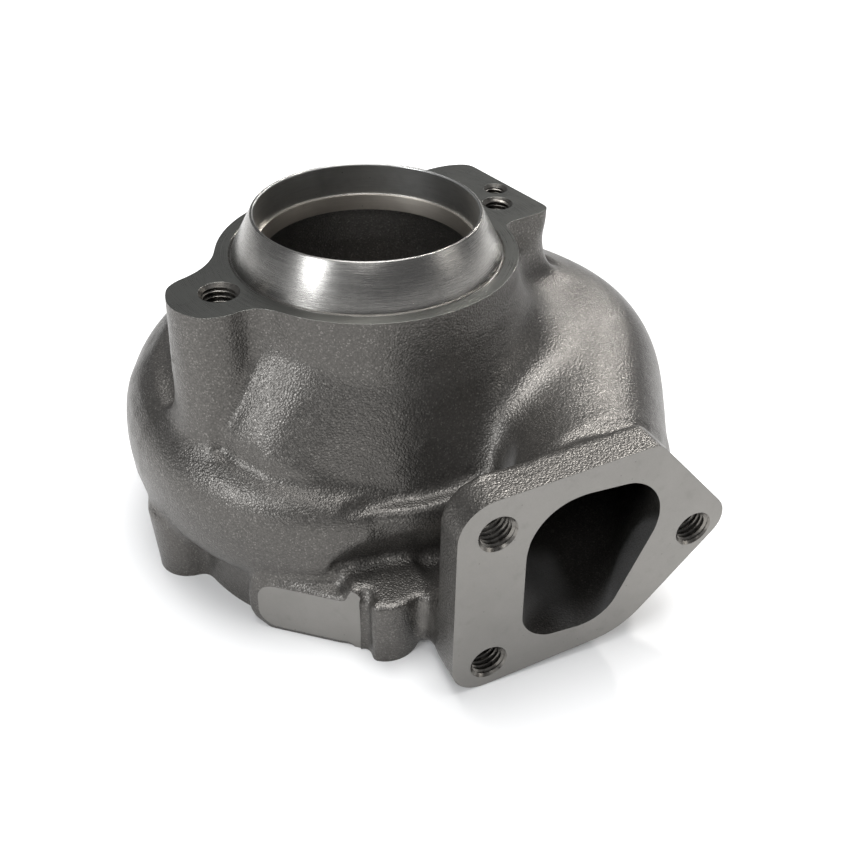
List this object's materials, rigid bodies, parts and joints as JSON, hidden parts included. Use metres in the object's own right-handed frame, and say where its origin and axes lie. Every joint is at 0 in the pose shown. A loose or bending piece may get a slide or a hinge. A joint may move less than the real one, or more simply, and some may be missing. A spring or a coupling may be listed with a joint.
{
  "type": "turbine housing",
  "caption": "Cast-iron turbocharger turbine housing with a spiral gas passage, a triangular inlet flange and a round outlet with a conical clamping rim.",
  "frame": {"origin": "on the turbine axis, in the joint face on the bearing side", "axes": "+Z along the turbine axis towards the gas outlet; -Y is the way the inlet flange faces; +X is on the side where the inlet duct runs into the scroll"},
  "size_m": [0.1603, 0.1643, 0.1015],
  "materials": {
    "cast_iron": "sand cast, with milled and turned faces and bores"
  },
  "bodies": {
    "root": {"turbine_housing": "cast_iron"}
  },
  "joints": []
}
